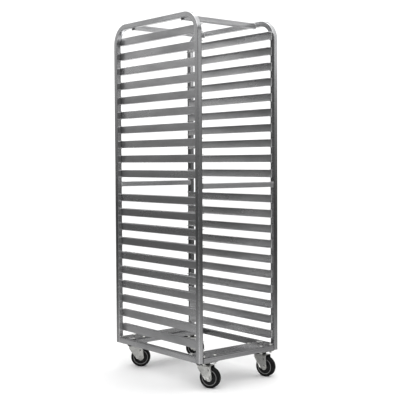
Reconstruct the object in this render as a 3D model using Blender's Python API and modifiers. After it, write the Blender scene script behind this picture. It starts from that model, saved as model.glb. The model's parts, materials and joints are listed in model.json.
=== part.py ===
# Sheet pan rack: two tubular side frames, twenty pairs of channel slides, cross members and four casters.
# Metres, +Z up. X runs across the rack, Y from its front to its back, and the floor is at Z = 0.
import math

import bmesh
import bpy

# ---- driving dimensions -------------------------------------------------------------------------
WIDTH = 0.51435             # over the two side frames
DEPTH = 0.69215             # over the front and rear posts
HEIGHT = 1.7905             # floor to the top of the side frames
BASE_HEIGHT = 0.130         # floor to the underside of the frame, the height of a caster
FIT_GAP = 0.0003            # left between pieces that are welded or bolted together

TUBE = 0.0254               # square tube of the frames, bars and braces
TUBE_WALL = 0.0018
TUBE_EDGE = 0.0024          # rounding along the tube's edges
BEND_RADIUS = 0.1016        # outside of the two top bends
BASE_RAIL_HEIGHT = 0.0286

SLIDES_PER_GROUP = 10       # an upper and a lower group on each side
SLIDE_PITCH = 0.0762
GROUP_PITCH = 0.1260        # last slide of the upper group to first slide of the lower one
TOP_SLIDE_DROP = 0.0635     # top of the frame to the top of the first slide
SLIDE_HEIGHT = 0.0381
SLIDE_FLANGE = 0.0222
SLIDE_WALL = 0.0020
SLIDE_BEND = 0.0032
SLIDE_LENGTH = 0.6604

TOP_BAR_DROP = 0.0064       # top of the frame to the top of the cross-bars
TOP_BAR_SETBACK = 0.1425    # face of a post to the middle of the nearer top cross-bar
BRACE_DROP = 0.0228         # last slide of the upper group down to the braces

CHANNEL_DEPTH = 0.1143      # caster channels, web on top
CHANNEL_WALL = 0.0032
CHANNEL_BEND = 0.0060
KINGPIN_HOLE_RADIUS = 0.0110

CASTER_INSET = 0.0717       # side of the rack to the middle of a caster
PLATE_WIDTH = 0.1016
PLATE_LENGTH = 0.1143
PLATE_THICKNESS = 0.0036
PLATE_CORNER = 0.0080
TRAIL = 0.0365              # how far a wheel's axle lies behind its swivel axis

RACEWAY_RADIUS = 0.0330
RACEWAY_CLEARANCE = 0.0006
FORK_TOP = 0.1100
FORK_GAP = 0.0400           # between the two legs
LEG_THICKNESS = 0.0030
LEG_LEAD = 0.0240           # how far the legs reach ahead of the swivel axis
LEG_REACH = 0.0490          # and behind it
LEG_FOOT_WIDTH = 0.0370
LEG_FOOT_DEPTH = 0.0100     # below the axle
AXLE_RADIUS = 0.0060
AXLE_HEAD_RADIUS = 0.0092
AXLE_HEAD_HEIGHT = 0.0055

WHEEL_RADIUS = 0.0508
WHEEL_HALF_WIDTH = 0.0159
TREAD_HALF_WIDTH = 0.0110
SHOULDER_RADIUS = 0.0455
RIM_RADIUS = 0.0375
WEB_HALF_WIDTH = 0.0120
HUB_RADIUS = 0.0170
HUB_HALF_WIDTH = 0.0190
BORE_RADIUS = 0.0064
ROUND_SIDES = 32            # sides of a wheel, raceway or hole

# side of the rack, end of the rack, and which way the wheel trails at rest, in degrees from +X
CASTERS = {
    "front_left": (-1, -1, -64.0),
    "front_right": (1, -1, -75.0),
    "rear_left": (-1, 1, -41.0),
    "rear_right": (1, 1, -44.0),
}
# The front wheels stand out ahead of the frame, so the frame sits behind the middle of the footprint.
FRAME_SETBACK = 0.0150

COLOURS = {
    "aluminium": ((0.62, 0.63, 0.64), 0.32, 1.0),
    "zinc": ((0.72, 0.72, 0.70), 0.25, 1.0),
    "rubber": ((0.012, 0.012, 0.013), 0.45, 0.0),
}

# Turns of a flat outline, which is drawn in its own X and Y.
ACROSS = (math.pi / 2, 0, math.pi / 2)      # outline in Y and Z, thickness along X
ALONG = (math.pi / 2, 0, 0)                 # outline in X and Z, thickness along Y
LEVEL = (0, 0, 0)                           # outline in X and Y, thickness along Z

for leftover in list(bpy.data.objects):
    bpy.data.objects.remove(leftover)


def new_collection(name):
    collection = bpy.data.collections.new(name)
    bpy.context.scene.collection.children.link(collection)
    return collection


def new_material(name):
    colour, roughness, metallic = COLOURS[name]
    material = bpy.data.materials.new(name)
    material.use_nodes = True
    shader = material.node_tree.nodes["Principled BSDF"]
    shader.inputs["Base Color"].default_value = (*colour, 1.0)
    shader.inputs["Roughness"].default_value = roughness
    shader.inputs["Metallic"].default_value = metallic
    return material


rack_pieces = new_collection("sheet_pan_rack")
cutters = new_collection("cutters")
materials = {name: new_material(name) for name in COLOURS}


# ---- shape helpers ------------------------------------------------------------------------------
def rounded_loop(corners, steps=4):
    """Turn (x, y, radius) corners into a closed loop of points, with an arc at each rounded corner."""
    loop = []
    for index, (x, y, radius) in enumerate(corners):
        if radius == 0:
            loop.append((x, y))
            continue
        before = corners[index - 1]
        after = corners[(index + 1) % len(corners)]
        to_before = math.atan2(before[1] - y, before[0] - x)
        to_after = math.atan2(after[1] - y, after[0] - x)
        opening = math.remainder(to_after - to_before, 2 * math.pi)
        reach = radius / math.sin(abs(opening) / 2)
        bisector = to_before + opening / 2
        centre_x = x + reach * math.cos(bisector)
        centre_y = y + reach * math.sin(bisector)
        start = to_before - math.copysign(math.pi / 2, opening)
        sweep = opening - math.copysign(math.pi, opening)
        for step in range(steps + 1):
            angle = start + sweep * step / steps
            loop.append((centre_x + radius * math.cos(angle), centre_y + radius * math.sin(angle)))
    return loop


def rectangle(low_x, low_y, high_x, high_y, top_radius=0.0, bottom_radius=0.0):
    return [
        (low_x, low_y, bottom_radius),
        (high_x, low_y, bottom_radius),
        (high_x, high_y, top_radius),
        (low_x, high_y, top_radius),
    ]


def weld(mesh):
    work = bmesh.new()
    work.from_mesh(mesh)
    bmesh.ops.remove_doubles(work, verts=work.verts, dist=1e-6)
    bmesh.ops.recalc_face_normals(work, faces=work.faces)
    work.to_mesh(mesh)
    work.free()


def extruded(name, loops, thickness, turn):
    """A flat outline with its holes, given a thickness, as one welded mesh about its own origin."""
    curve = bpy.data.curves.new(name, "CURVE")
    curve.dimensions = "2D"
    curve.fill_mode = "BOTH"
    curve.extrude = thickness / 2
    for loop in loops:
        spline = curve.splines.new("POLY")
        spline.points.add(len(loop) - 1)
        for point, (x, y) in zip(spline.points, loop):
            point.co = (x, y, 0, 1)
        spline.use_cyclic_u = True
    outline = bpy.data.objects.new(name, curve)
    cutters.objects.link(outline)
    outline.rotation_euler = turn
    bpy.context.view_layer.update()
    graph = bpy.context.evaluated_depsgraph_get()
    mesh = bpy.data.meshes.new_from_object(outline.evaluated_get(graph))
    mesh.transform(outline.matrix_world)
    bpy.data.objects.remove(outline)
    weld(mesh)
    return mesh


def cylinder(name, radius, length, sides, turn):
    work = bmesh.new()
    bmesh.ops.create_cone(
        work, cap_ends=True, segments=sides, radius1=radius, radius2=radius, depth=length
    )
    mesh = bpy.data.meshes.new(name)
    work.to_mesh(mesh)
    work.free()
    holder = bpy.data.objects.new(name, mesh)
    holder.rotation_euler = turn
    mesh.transform(holder.rotation_euler.to_matrix().to_4x4())
    bpy.data.objects.remove(holder)
    return mesh


def add_piece(name, mesh, material, place, parent):
    piece = bpy.data.objects.new(name, mesh)
    if not mesh.materials:
        mesh.materials.append(materials[material])
    piece.location = place
    piece.parent = parent
    rack_pieces.objects.link(piece)
    return piece


def add_cutter(name, mesh, place, parent):
    cutter = bpy.data.objects.new(name, mesh)
    cutter.location = place
    cutter.parent = parent
    cutter.hide_render = True
    cutter.display_type = "WIRE"
    cutters.objects.link(cutter)
    return cutter


def boolean(piece, operation, other):
    modifier = piece.modifiers.new(other.name, "BOOLEAN")
    modifier.operation = operation
    modifier.solver = "EXACT"
    modifier.object = other


def shade_round(mesh, angle=35):
    mesh.shade_smooth()
    mesh.set_sharp_from_angle(angle=math.radians(angle))


def add_guide(name, place, parent=None, turn=0.0):
    guide = bpy.data.objects.new(name, None)
    guide.location = place
    guide.rotation_euler = (0, 0, turn)
    guide.parent = parent
    rack_pieces.objects.link(guide)
    return guide


# ---- side frames --------------------------------------------------------------------------------
def side_frame_mesh(name, inset):
    """The bent tube and its bottom rail as one outline, or its hollow when inset by the tube's wall."""
    half = DEPTH / 2 - inset
    window = DEPTH / 2 - TUBE + inset
    outer = rectangle(-half, BASE_HEIGHT + inset, half, HEIGHT - inset, BEND_RADIUS - inset)
    inner = rectangle(
        -window,
        BASE_HEIGHT + BASE_RAIL_HEIGHT - inset,
        window,
        HEIGHT - TUBE + inset,
        BEND_RADIUS - TUBE + inset,
    )
    loops = [rounded_loop(outer, 10), rounded_loop(inner, 10)]
    return extruded(name, loops, TUBE - 2 * inset, ACROSS)


def add_side_frame(name, side, parent):
    place = (side * (WIDTH - TUBE) / 2, 0, 0)
    frame = add_piece(name, side_frame_mesh(name, 0.0), "aluminium", place, parent)
    rounding = frame.modifiers.new("tube_edges", "BEVEL")
    rounding.width = TUBE_EDGE
    rounding.segments = 2
    rounding.limit_method = "ANGLE"
    rounding.angle_limit = math.radians(40)
    hollow = side_frame_mesh(name + "_hollow", TUBE_WALL)
    boolean(frame, "DIFFERENCE", add_cutter(name + "_hollow", hollow, place, parent))
    bore = TUBE - 2 * TUBE_WALL
    for end, y in (("front", -1), ("rear", 1)):
        opening = extruded(
            name + "_open_foot", [rounded_loop(rectangle(-bore / 2, -bore, bore / 2, bore))], bore, ACROSS
        )
        foot = (place[0], y * (DEPTH - TUBE) / 2, BASE_HEIGHT)
        boolean(frame, "DIFFERENCE", add_cutter(f"{name}_{end}_foot", opening, foot, parent))
    return frame


# ---- straight tubes across the rack -------------------------------------------------------------
def cross_tube_mesh(name):
    half = TUBE / 2
    bore = half - TUBE_WALL
    outer = rounded_loop(rectangle(-half, -half, half, half, TUBE_EDGE, TUBE_EDGE), 2)
    inner = rounded_loop(rectangle(-bore, -bore, bore, bore))
    mesh = extruded(name, [outer, inner], WIDTH - 2 * TUBE - 2 * FIT_GAP, ACROSS)
    shade_round(mesh)
    return mesh


def add_cross_tubes(parent):
    tube = cross_tube_mesh("cross_tube")
    bar_height = HEIGHT - TOP_BAR_DROP - TUBE / 2
    bar_y = DEPTH / 2 - TOP_BAR_SETBACK
    upper_group_foot = HEIGHT - TOP_SLIDE_DROP - (SLIDES_PER_GROUP - 1) * SLIDE_PITCH - SLIDE_HEIGHT
    brace_height = upper_group_foot - BRACE_DROP - TUBE / 2
    brace_y = (DEPTH - TUBE) / 2
    for end, y in (("front", -1), ("rear", 1)):
        add_piece("top_bar_" + end, tube, "aluminium", (0, y * bar_y, bar_height), parent)
        add_piece("mid_brace_" + end, tube, "aluminium", (0, y * brace_y, brace_height), parent)


# ---- slides -------------------------------------------------------------------------------------
def slide_mesh(side):
    """A C channel whose web stands against the posts and whose flanges reach into the rack."""
    web = WIDTH / 2 - TUBE - FIT_GAP
    tip = web - SLIDE_FLANGE
    inside = web - SLIDE_WALL
    top = -SLIDE_WALL
    foot = -SLIDE_HEIGHT + SLIDE_WALL
    crook = SLIDE_BEND - SLIDE_WALL
    corners = [
        (tip, 0, 0),
        (tip, top, 0),
        (inside, top, crook),
        (inside, foot, crook),
        (tip, foot, 0),
        (tip, -SLIDE_HEIGHT, 0),
        (web, -SLIDE_HEIGHT, SLIDE_BEND),
        (web, 0, SLIDE_BEND),
    ]
    profile = rounded_loop([(side * x, z, radius) for x, z, radius in corners], 2)
    mesh = extruded("slide", [profile], SLIDE_LENGTH, ALONG)
    shade_round(mesh)
    return mesh


def slide_tops():
    height = HEIGHT - TOP_SLIDE_DROP
    for group in range(2):
        for _ in range(SLIDES_PER_GROUP):
            yield height
            height -= SLIDE_PITCH
        height += SLIDE_PITCH - GROUP_PITCH


def add_slides(parent):
    for side_name, side in (("left", -1), ("right", 1)):
        mesh = slide_mesh(side)
        for number, height in enumerate(slide_tops(), 1):
            add_piece(f"slide_{side_name}_{number:02d}", mesh, "aluminium", (0, 0, height), parent)


# ---- caster channels ----------------------------------------------------------------------------
def add_caster_channel(name, end, parent):
    half = CHANNEL_DEPTH / 2
    inside = half - CHANNEL_WALL
    top = BASE_RAIL_HEIGHT
    crook = CHANNEL_BEND - CHANNEL_WALL
    corners = [
        (-half, 0, 0),
        (-inside, 0, 0),
        (-inside, top - CHANNEL_WALL, crook),
        (inside, top - CHANNEL_WALL, crook),
        (inside, 0, 0),
        (half, 0, 0),
        (half, top, CHANNEL_BEND),
        (-half, top, CHANNEL_BEND),
    ]
    mesh = extruded(name, [rounded_loop(corners, 3)], WIDTH - 2 * TUBE - 2 * FIT_GAP, ACROSS)
    middle_y = end * (DEPTH - CHANNEL_DEPTH) / 2
    channel = add_piece(name, mesh, "aluminium", (0, middle_y, BASE_HEIGHT), parent)
    drill = cylinder("kingpin_hole", KINGPIN_HOLE_RADIUS, 0.03, ROUND_SIDES // 2, LEVEL)
    for side_name, side in (("left", -1), ("right", 1)):
        spot = (side * (WIDTH / 2 - CASTER_INSET), middle_y, BASE_HEIGHT + top)
        boolean(channel, "DIFFERENCE", add_cutter(f"{name}_{side_name}_hole", drill, spot, parent))


# ---- casters ------------------------------------------------------------------------------------
def plate_mesh():
    half_width = PLATE_WIDTH / 2
    half_length = PLATE_LENGTH / 2
    outline = rectangle(-half_width, -half_length, half_width, half_length, PLATE_CORNER, PLATE_CORNER)
    return extruded("caster_plate", [rounded_loop(outline, 3)], PLATE_THICKNESS, LEVEL)


def leg_mesh():
    foot_low = WHEEL_RADIUS - LEG_FOOT_DEPTH
    foot_ahead = TRAIL - LEG_FOOT_WIDTH / 2
    foot_behind = TRAIL + LEG_FOOT_WIDTH / 2
    corners = [
        (-LEG_LEAD, FORK_TOP, 0),
        (-LEG_LEAD, FORK_TOP - 0.014, 0.006),
        (foot_ahead, foot_low, 0.012),
        (foot_behind, foot_low, 0.010),
        (LEG_REACH, FORK_TOP, 0),
    ]
    return extruded("fork_leg", [rounded_loop(corners, 3)], LEG_THICKNESS, ALONG)


def add_fork(name, swivel):
    """Crown, raceway, two legs and the axle bolt, joined into one body about the swivel axis."""
    leg_middle = (FORK_GAP + LEG_THICKNESS) / 2
    crown_half = leg_middle - 0.0002
    crown = rectangle(-LEG_LEAD - 0.002, -crown_half, LEG_REACH - 0.003, crown_half, 0.006, 0.006)
    crown_mesh = extruded("fork_crown", [rounded_loop(crown, 3)], LEG_THICKNESS, LEVEL)
    fork = add_piece(name, crown_mesh, "zinc", (0, 0, FORK_TOP - LEG_THICKNESS), swivel)

    raceway_top = BASE_HEIGHT - FIT_GAP - PLATE_THICKNESS - RACEWAY_CLEARANCE
    raceway_foot = FORK_TOP - LEG_THICKNESS
    raceway = cylinder("raceway", RACEWAY_RADIUS, raceway_top - raceway_foot, ROUND_SIDES, LEVEL)
    raceway_place = (0, 0, (raceway_top + raceway_foot) / 2)
    boolean(fork, "UNION", add_cutter(name + "_raceway", raceway, raceway_place, swivel))

    leg = leg_mesh()
    for side_name, side in (("near", -1), ("far", 1)):
        leg_place = (0, side * leg_middle, 0)
        boolean(fork, "UNION", add_cutter(f"{name}_{side_name}_leg", leg, leg_place, swivel))

    axle_place = (TRAIL, 0, WHEEL_RADIUS)
    shank = cylinder("axle_shank", AXLE_RADIUS, FORK_GAP + LEG_THICKNESS, ROUND_SIDES // 2, ALONG)
    boolean(fork, "UNION", add_cutter(name + "_axle", shank, axle_place, swivel))
    head = cylinder("axle_head", AXLE_HEAD_RADIUS, AXLE_HEAD_HEIGHT + 0.001, 6, ALONG)
    head_middle = FORK_GAP / 2 + LEG_THICKNESS + AXLE_HEAD_HEIGHT / 2 - 0.0005
    for side_name, side in (("bolt_head", -1), ("nut", 1)):
        head_place = (TRAIL, side * head_middle, WHEEL_RADIUS)
        boolean(fork, "UNION", add_cutter(f"{name}_{side_name}", head, head_place, swivel))


def wheel_mesh():
    """Half a section is listed from the tread to the bore and mirrored, then turned about the axle."""
    half_section = [
        (WHEEL_RADIUS, TREAD_HALF_WIDTH),
        (SHOULDER_RADIUS, WHEEL_HALF_WIDTH),
        (RIM_RADIUS, WHEEL_HALF_WIDTH - 0.001),
        (RIM_RADIUS - 0.0015, WEB_HALF_WIDTH),
        (HUB_RADIUS + 0.003, WEB_HALF_WIDTH),
        (HUB_RADIUS, HUB_HALF_WIDTH),
        (BORE_RADIUS, HUB_HALF_WIDTH),
    ]
    section = [(radius, -offset) for radius, offset in half_section]
    section += [(radius, offset) for radius, offset in reversed(half_section)]
    work = bmesh.new()
    corners = [work.verts.new((radius, 0, offset)) for radius, offset in section]
    for index, corner in enumerate(corners):
        work.edges.new((corners[index - 1], corner))
    mesh = bpy.data.meshes.new("wheel")
    work.to_mesh(mesh)
    work.free()
    return mesh


def add_wheel(name, mesh, swivel):
    wheel = add_piece(name, mesh, "rubber", (TRAIL, 0, WHEEL_RADIUS), swivel)
    wheel.rotation_euler = ALONG
    turning = wheel.modifiers.new("turned", "SCREW")
    turning.axis = "Z"
    turning.steps = ROUND_SIDES
    turning.render_steps = ROUND_SIDES
    turning.use_merge_vertices = True
    turning.merge_threshold = 0.00001
    turning.use_normal_calculate = True


def add_casters(parent):
    plate = plate_mesh()
    wheel = wheel_mesh()
    plate_height = BASE_HEIGHT - FIT_GAP - PLATE_THICKNESS / 2
    for corner, (side, end, heading) in CASTERS.items():
        x = side * (WIDTH / 2 - CASTER_INSET)
        y = end * (DEPTH - CHANNEL_DEPTH) / 2
        add_piece("caster_plate_" + corner, plate, "zinc", (x, y, plate_height), parent)
        swivel = add_guide("swivel_" + corner, (x, y, 0), parent, math.radians(heading))
        add_fork("caster_fork_" + corner, swivel)
        add_wheel("caster_wheel_" + corner, wheel, swivel)


# ---- the whole rack -----------------------------------------------------------------------------
rack = add_guide("rack", (0, FRAME_SETBACK, 0))
add_side_frame("side_frame_left", -1, rack)
add_side_frame("side_frame_right", 1, rack)
add_cross_tubes(rack)
add_slides(rack)
add_caster_channel("caster_channel_front", -1, rack)
add_caster_channel("caster_channel_rear", 1, rack)
add_casters(rack)
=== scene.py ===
# Sheet pan rack, finished around its CAD frame. Metres, +Z up, the loading end towards -Y.
import json
import math

import bmesh
import bpy
from mathutils import Matrix, Vector


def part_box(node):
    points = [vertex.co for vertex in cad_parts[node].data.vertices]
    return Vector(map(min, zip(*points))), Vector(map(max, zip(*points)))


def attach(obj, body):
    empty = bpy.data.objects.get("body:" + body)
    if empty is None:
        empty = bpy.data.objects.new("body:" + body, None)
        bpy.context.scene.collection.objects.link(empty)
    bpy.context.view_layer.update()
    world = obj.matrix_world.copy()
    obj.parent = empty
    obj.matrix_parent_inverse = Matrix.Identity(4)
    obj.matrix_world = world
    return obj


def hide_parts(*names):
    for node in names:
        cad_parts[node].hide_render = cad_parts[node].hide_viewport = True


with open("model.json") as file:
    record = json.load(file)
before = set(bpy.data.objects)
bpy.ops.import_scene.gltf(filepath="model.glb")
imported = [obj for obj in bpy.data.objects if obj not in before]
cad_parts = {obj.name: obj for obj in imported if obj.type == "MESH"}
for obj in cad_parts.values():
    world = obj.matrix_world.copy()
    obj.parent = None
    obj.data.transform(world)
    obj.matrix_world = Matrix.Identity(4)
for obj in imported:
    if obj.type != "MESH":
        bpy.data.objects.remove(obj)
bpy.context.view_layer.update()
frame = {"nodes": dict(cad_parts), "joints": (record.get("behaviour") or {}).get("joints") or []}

scene = bpy.context.scene
print("frame loaded with", len(frame["nodes"]), "nodes")

# where things are, read from the frame
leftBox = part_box("side_frame_left")
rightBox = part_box("side_frame_right")
tubeSize = leftBox[1].x - leftBox[0].x
frontY, rearY = leftBox[0].y, leftBox[1].y
middleY = (frontY + rearY) / 2
baseZ, topZ = leftBox[0].z, leftBox[1].z
innerX = rightBox[0].x                       # inner face of a side frame
channelBox = {end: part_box("caster_channel_" + end) for end in ("front", "rear")}
webTopZ = channelBox["front"][1].z
corners = ("front_left", "front_right", "rear_left", "rear_right")
jointOf = {joint["name"]: joint for joint in frame["joints"]}
slideNumbers = range(1, sum(name.startswith("slide_left") for name in frame["nodes"]) + 1)


# ---- node trees ----
def addNode(tree, kind, inputs=None, **settings):
    node = tree.nodes.new(kind)
    for name, value in settings.items():
        setattr(node, name, value)
    for key, value in (inputs or {}).items():
        if isinstance(value, bpy.types.NodeSocket):
            tree.links.new(value, node.inputs[key])
        else:
            node.inputs[key].default_value = value
    return node


def maths(tree, operation, *values):
    return addNode(tree, "ShaderNodeMath", dict(enumerate(values)), operation=operation)


def newTree(name, sockets):
    tree = bpy.data.node_groups.new(name, "GeometryNodeTree")
    tree.interface.new_socket("Geometry", in_out="INPUT", socket_type="NodeSocketGeometry")
    for label, kind in sockets.items():
        tree.interface.new_socket(label, in_out="INPUT", socket_type="NodeSocket" + kind)
    tree.interface.new_socket("Geometry", in_out="OUTPUT", socket_type="NodeSocketGeometry")
    given = tree.nodes.new("NodeGroupInput").outputs
    result = tree.nodes.new("NodeGroupOutput").inputs[0]
    return tree, given, result


def capture(tree, geometry, value, domain="POINT"):
    node = addNode(tree, "GeometryNodeCaptureAttribute", domain=domain)
    node.capture_items.new("FLOAT", "kept")
    tree.links.new(geometry, node.inputs["Geometry"])
    tree.links.new(value, node.inputs["kept"])
    return node.outputs["Geometry"], node.outputs["kept"]


def storeGrain(tree, geometry, along, around, number):
    # distance along the metal's grain, distance round the section, and the number of the piece
    grain = addNode(tree, "ShaderNodeCombineXYZ", {"X": along, "Y": around, "Z": number})
    return addNode(
        tree, "GeometryNodeStoreNamedAttribute",
        {"Geometry": geometry, "Name": "grain", "Value": grain.outputs[0]},
        data_type="FLOAT_VECTOR", domain="POINT",
    ).outputs[0]


def finishTree(tree, geometry, material, result):
    smooth = addNode(tree, "GeometryNodeSetShadeSmooth", {"Geometry": geometry})
    realized = addNode(tree, "GeometryNodeRealizeInstances", {"Geometry": smooth.outputs[0]})
    finished = addNode(
        tree, "GeometryNodeSetMaterial", {"Geometry": realized.outputs[0], "Material": material}
    )
    tree.links.new(finished.outputs[0], result)


def squareTubeTree():
    tree, given, result = newTree("squareTube", {
        "Width": "Float", "Height": "Float", "Edge Radius": "Float", "Bend Radius": "Float",
        "Bend Steps": "Int", "Closed Ends": "Bool", "Number": "Float", "Material": "Material",
    })
    path = addNode(tree, "GeometryNodeMeshToCurve", {"Mesh": given["Geometry"]})
    bent = addNode(
        tree, "GeometryNodeFilletCurve",
        {"Curve": path.outputs[0], "Count": given["Bend Steps"], "Radius": given["Bend Radius"]},
        mode="POLY",
    )
    section = addNode(
        tree, "GeometryNodeCurvePrimitiveQuadrilateral",
        {"Width": given["Width"], "Height": given["Height"]},
    )
    rounded = addNode(
        tree, "GeometryNodeFilletCurve",
        {"Curve": section.outputs[0], "Count": 4, "Radius": given["Edge Radius"]}, mode="POLY",
    )
    length = addNode(tree, "GeometryNodeSplineParameter").outputs["Length"]
    line, along = capture(tree, bent.outputs[0], length)
    outline, around = capture(tree, rounded.outputs[0], length)
    swept = addNode(tree, "GeometryNodeCurveToMesh", {
        "Curve": line, "Profile Curve": outline, "Fill Caps": given["Closed Ends"]})
    grained = storeGrain(tree, swept.outputs[0], along, around, given["Number"])
    finishTree(tree, grained, given["Material"], result)
    return tree


def extrusionTree():
    tree, given, result = newTree("extrusion", {
        "Section": "Object", "Length": "Float", "Turn": "Float", "Number": "Float",
        "Material": "Material",
    })
    half = maths(tree, "MULTIPLY", given["Length"], 0.5)
    back = maths(tree, "MULTIPLY", given["Length"], -0.5)
    start = addNode(tree, "ShaderNodeCombineXYZ", {"Y": back.outputs[0]})
    end = addNode(tree, "ShaderNodeCombineXYZ", {"Y": half.outputs[0]})
    path = addNode(
        tree, "GeometryNodeCurvePrimitiveLine", {"Start": start.outputs[0], "End": end.outputs[0]}
    )
    section = addNode(tree, "GeometryNodeObjectInfo", {"Object": given["Section"]})
    length = addNode(tree, "GeometryNodeSplineParameter").outputs["Length"]
    line, along = capture(tree, path.outputs[0], length)
    outline, around = capture(tree, section.outputs["Geometry"], length)
    spot = addNode(tree, "GeometryNodeInputPosition")
    depth = addNode(tree, "ShaderNodeSeparateXYZ", {"Vector": spot.outputs[0]})
    outline, level = capture(tree, outline, depth.outputs["Y"])
    swept = addNode(
        tree, "GeometryNodeCurveToMesh",
        {"Curve": line, "Profile Curve": outline, "Fill Caps": True},
    )
    index = addNode(tree, "GeometryNodeInputIndex")
    spots, number = capture(tree, given["Geometry"], index.outputs[0])
    turn = addNode(tree, "ShaderNodeCombineXYZ", {"Z": given["Turn"]})
    placed = addNode(
        tree, "GeometryNodeInstanceOnPoints",
        {"Points": spots, "Instance": swept.outputs[0], "Rotation": turn.outputs[0]},
    )
    real = addNode(tree, "GeometryNodeRealizeInstances", {"Geometry": placed.outputs[0]})
    counted = maths(tree, "ADD", number, given["Number"])
    grained = storeGrain(tree, real.outputs[0], along, around, counted.outputs[0])
    levelled = addNode(
        tree, "GeometryNodeStoreNamedAttribute", {"Geometry": grained, "Name": "level", "Value": level},
        data_type="FLOAT", domain="POINT",
    )
    finishTree(tree, levelled.outputs[0], given["Material"], result)
    return tree


def weldTree():
    tree, given, result = newTree("weldBeads", {
        "Bead Radius": "Float", "Ripple": "Float", "Ripple Depth": "Float", "Seed": "Int",
        "Material": "Material",
    })
    runs = addNode(tree, "GeometryNodeMeshToCurve", {"Mesh": given["Geometry"]})
    steps = addNode(
        tree, "GeometryNodeResampleCurve", {"Curve": runs.outputs[0], "Length": given["Ripple"]},
        mode="LENGTH",
    )
    index = addNode(tree, "GeometryNodeInputIndex")
    odd = maths(tree, "MODULO", index.outputs[0], 2.0)
    dip = maths(tree, "MULTIPLY", odd.outputs[0], given["Ripple Depth"])
    uneven = addNode(
        tree, "FunctionNodeRandomValue", {"Seed": given["Seed"], 2: 0.82, 3: 1.12}, data_type="FLOAT"
    )
    wide = maths(tree, "SUBTRACT", uneven.outputs[1], dip.outputs[0])
    scale = maths(tree, "MULTIPLY", wide.outputs[0], given["Bead Radius"])
    ring = addNode(tree, "GeometryNodeCurvePrimitiveCircle", {"Resolution": 8, "Radius": 1.0})
    bead = addNode(
        tree, "GeometryNodeCurveToMesh",
        {"Curve": steps.outputs[0], "Profile Curve": ring.outputs[0], "Scale": scale.outputs[0],
         "Fill Caps": True},
    )
    finishTree(tree, bead.outputs[0], given["Material"], result)
    return tree


def fastenerTree():
    tree, given, result = newTree("fasteners", {
        "Fastener": "Object", "Seed": "Int", "Material": "Material",
    })
    source = addNode(tree, "GeometryNodeObjectInfo", {"Object": given["Fastener"]})
    turn = addNode(
        tree, "FunctionNodeRandomValue",
        {"Seed": given["Seed"], 0: (0, 0, 0), 1: (0, 0, 2 * math.pi)}, data_type="FLOAT_VECTOR",
    )
    placed = addNode(
        tree, "GeometryNodeInstanceOnPoints",
        {"Points": given["Geometry"], "Instance": source.outputs["Geometry"],
         "Rotation": turn.outputs[0]},
    )
    finishTree(tree, placed.outputs[0], given["Material"], result)
    return tree


def runTree(tree, base, values, wall=0.0, sharpAngle=35):
    # evaluates the tree on a plain mesh and returns the result as a plain mesh
    holder = bpy.data.objects.new("holder", base)
    scene.collection.objects.link(holder)
    shape = holder.modifiers.new("shape", "NODES")
    shape.node_group = tree
    sockets = {item.name: item.identifier for item in tree.interface.items_tree if item.in_out == "INPUT"}
    for label, value in values.items():
        shape[sockets[label]] = value
    if wall:
        hollow = holder.modifiers.new("wall", "SOLIDIFY")
        hollow.thickness = wall
        hollow.offset = -1
    mesh = bakedMesh(holder)
    bpy.data.objects.remove(holder)
    bpy.data.meshes.remove(base)
    return crisp(mesh, sharpAngle)


def bakedMesh(holder):
    bpy.context.view_layer.update()
    graph = bpy.context.evaluated_depsgraph_get()
    return bpy.data.meshes.new_from_object(
        holder.evaluated_get(graph), preserve_all_data_layers=True, depsgraph=graph
    )


def crisp(mesh, angle=35):
    # flats stay flat and bends stay round in the shading
    mesh.shade_smooth()
    mesh.set_sharp_from_angle(angle=math.radians(angle))
    holder = bpy.data.objects.new("holder", mesh)
    scene.collection.objects.link(holder)
    weighted = holder.modifiers.new("weighted", "WEIGHTED_NORMAL")
    weighted.keep_sharp = True
    result = bakedMesh(holder)
    bpy.data.objects.remove(holder)
    bpy.data.meshes.remove(mesh)
    return result


# ---- mesh helpers ----
def pathMesh(*lines):
    mesh = bpy.data.meshes.new("path")
    points, edges = [], []
    for line in lines:
        edges += [(len(points) + step, len(points) + step + 1) for step in range(len(line) - 1)]
        points += line
    mesh.from_pydata(points, edges, [])
    return mesh


def roundedOutline(outline, steps):
    # (x, y, radius) corners to points, with an arc at each rounded corner
    points = []
    for index, (x, y, radius) in enumerate(outline):
        if radius == 0:
            points.append((x, y))
            continue
        before, after = outline[index - 1], outline[(index + 1) % len(outline)]
        toBefore = math.atan2(before[1] - y, before[0] - x)
        toAfter = math.atan2(after[1] - y, after[0] - x)
        opening = math.remainder(toAfter - toBefore, 2 * math.pi)
        reach = radius / math.sin(abs(opening) / 2)
        centreX = x + reach * math.cos(toBefore + opening / 2)
        centreY = y + reach * math.sin(toBefore + opening / 2)
        start = toBefore - math.copysign(math.pi / 2, opening)
        sweep = opening - math.copysign(math.pi, opening)
        for step in range(steps + 1):
            angle = start + sweep * step / steps
            points.append((centreX + radius * math.cos(angle), centreY + radius * math.sin(angle)))
    return points


def sectionCurve(name, points):
    # a section seen along +Y stands upside down in its own curve, and has to run counter-clockwise
    curve = bpy.data.curves.new(name, "CURVE")
    spline = curve.splines.new("POLY")
    spline.points.add(len(points) - 1)
    area = sum(x * points[index - 1][1] - points[index - 1][0] * y for index, (x, y) in enumerate(points))
    for point, (x, y) in zip(spline.points, points if area > 0 else points[::-1]):
        point.co = (x, -y, 0, 1)
    spline.use_cyclic_u = True
    holder = bpy.data.objects.new(name, curve)
    scene.collection.objects.link(holder)
    return holder


def closedMesh(name, work):
    bmesh.ops.remove_doubles(work, verts=work.verts, dist=1e-7)
    bmesh.ops.recalc_face_normals(work, faces=work.faces)
    mesh = bpy.data.meshes.new(name)
    work.to_mesh(mesh)
    work.free()
    return mesh


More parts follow.
